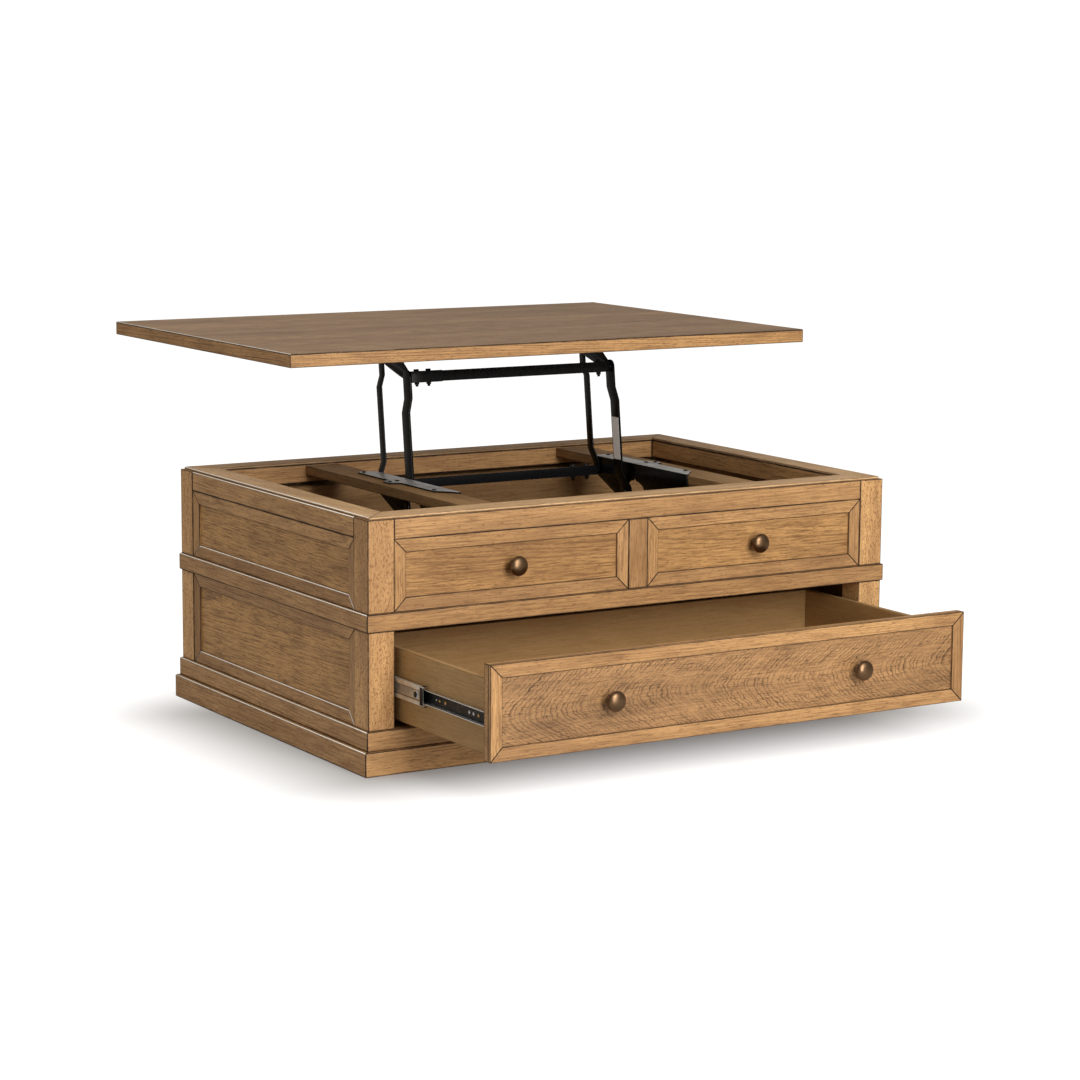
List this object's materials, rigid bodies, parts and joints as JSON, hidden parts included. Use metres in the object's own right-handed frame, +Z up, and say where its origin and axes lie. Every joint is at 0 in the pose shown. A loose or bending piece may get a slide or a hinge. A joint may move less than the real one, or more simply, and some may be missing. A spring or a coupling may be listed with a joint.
{
  "type": "lift top coffee table",
  "caption": "Framed wooden coffee table whose lid lifts up and back on parallel arms over open storage, with a wide drawer on ball-bearing slides below.",
  "frame": {"origin": "on the floor, under the middle of the whole table as it stands at rest, from the drawer knobs at the front to the raised lid's rear edge", "axes": "+Z up, +X along the long side to the right as seen from the front, -Y towards the person at the drawer"},
  "size_m": [1.2248, 1.5026, 0.7688],
  "materials": {
    "case_wood": "satin stained veneer and solid wood, brown glaze in the joints",
    "lid_wood": "satin stained veneer, greyer brown on top",
    "inner_wood": "matt sealed drawer and case lining wood",
    "black_steel": "black powder coat",
    "zinc_steel": "zinc plated",
    "bronze": "dark antique bronze, lightly rubbed"
  },
  "bodies": {
    "case": {"back_panel": "case_wood", "base_board_back": "case_wood", "base_board_front": "case_wood", "base_board_left": "case_wood", "base_board_right": "case_wood", "case_bottom": "inner_wood", "centre_stile": "case_wood", "compartment_back": "inner_wood", "compartment_floor": "inner_wood", "false_front_left": "case_wood", "false_front_right": "case_wood", "knob_upper_left": "bronze", "knob_upper_right": "bronze", "lift_bracket_left": "black_steel", "lift_bracket_right": "black_steel", "lift_slat_left": "inner_wood", "lift_slat_right": "inner_wood", "lift_spring_left": "zinc_steel", "lift_spring_right": "zinc_steel", "post_back_left": "case_wood", "post_back_right": "case_wood", "post_front_left": "case_wood", "post_front_right": "case_wood", "side_panel_left_lower": "case_wood", "side_panel_left_upper": "case_wood", "side_panel_right_lower": "case_wood", "side_panel_right_upper": "case_wood", "slide_cabinet_left": "zinc_steel", "slide_cabinet_right": "zinc_steel", "slide_cleat_left": "inner_wood", "slide_cleat_right": "inner_wood", "top_rail_back": "case_wood", "top_rail_front": "case_wood", "top_rail_left": "case_wood", "top_rail_right": "case_wood", "top_rim": "case_wood", "waist_band_back": "case_wood", "waist_band_front": "case_wood", "waist_band_left": "case_wood", "waist_band_right": "case_wood"},
    "front_arms": {"front_arm_left": "black_steel", "front_arm_right": "black_steel", "upper_crossbar": "black_steel"},
    "rear_arms": {"rear_arm_left": "black_steel", "rear_arm_right": "black_steel", "lower_crossbar": "black_steel"},
    "lid": {"lid": "lid_wood", "lid_bracket_left": "black_steel", "lid_bracket_right": "black_steel"},
    "drawer": {"drawer_front": "case_wood", "drawer_side_left": "inner_wood", "drawer_side_right": "inner_wood", "drawer_back": "inner_wood", "drawer_bottom": "inner_wood", "knob_drawer_left": "bronze", "knob_drawer_right": "bronze", "slide_drawer_left": "zinc_steel", "slide_drawer_right": "zinc_steel"},
    "slide_members": {"slide_middle_left": "zinc_steel", "slide_middle_right": "zinc_steel"}
  },
  "joints": [
    {"name": "lift", "type": "hinge", "parent": "case", "child": "front_arms", "pos_m": [0, 0.0944, 0.421], "axis": [1, 0, 0], "range_deg": [0, 94]},
    {"name": "rear_arm_swing", "type": "hinge", "parent": "case", "child": "rear_arms", "pos_m": [0, 0.207, 0.454], "axis": [1, 0, 0], "range_deg": [0, 94]},
    {"name": "lid_level", "type": "hinge", "parent": "front_arms", "child": "lid", "pos_m": [0, 0.12706, 0.687], "axis": [1, 0, 0], "range_deg": [-94, 0]},
    {"name": "drawer_slide", "type": "slide", "parent": "case", "child": "drawer", "axis": [0, -1, 0], "range_m": [-0.345, 0.155]},
    {"name": "slide_member_travel", "type": "slide", "parent": "case", "child": "slide_members", "axis": [0, -1, 0], "range_m": [-0.1725, 0.0775]}
  ],
  "couplings": [
    {"joint": "rear_arm_swing", "follows": "lift", "ratio": 1},
    {"joint": "lid_level", "follows": "lift", "ratio": -1},
    {"joint": "slide_member_travel", "follows": "drawer_slide", "ratio": 0.5}
  ]
}
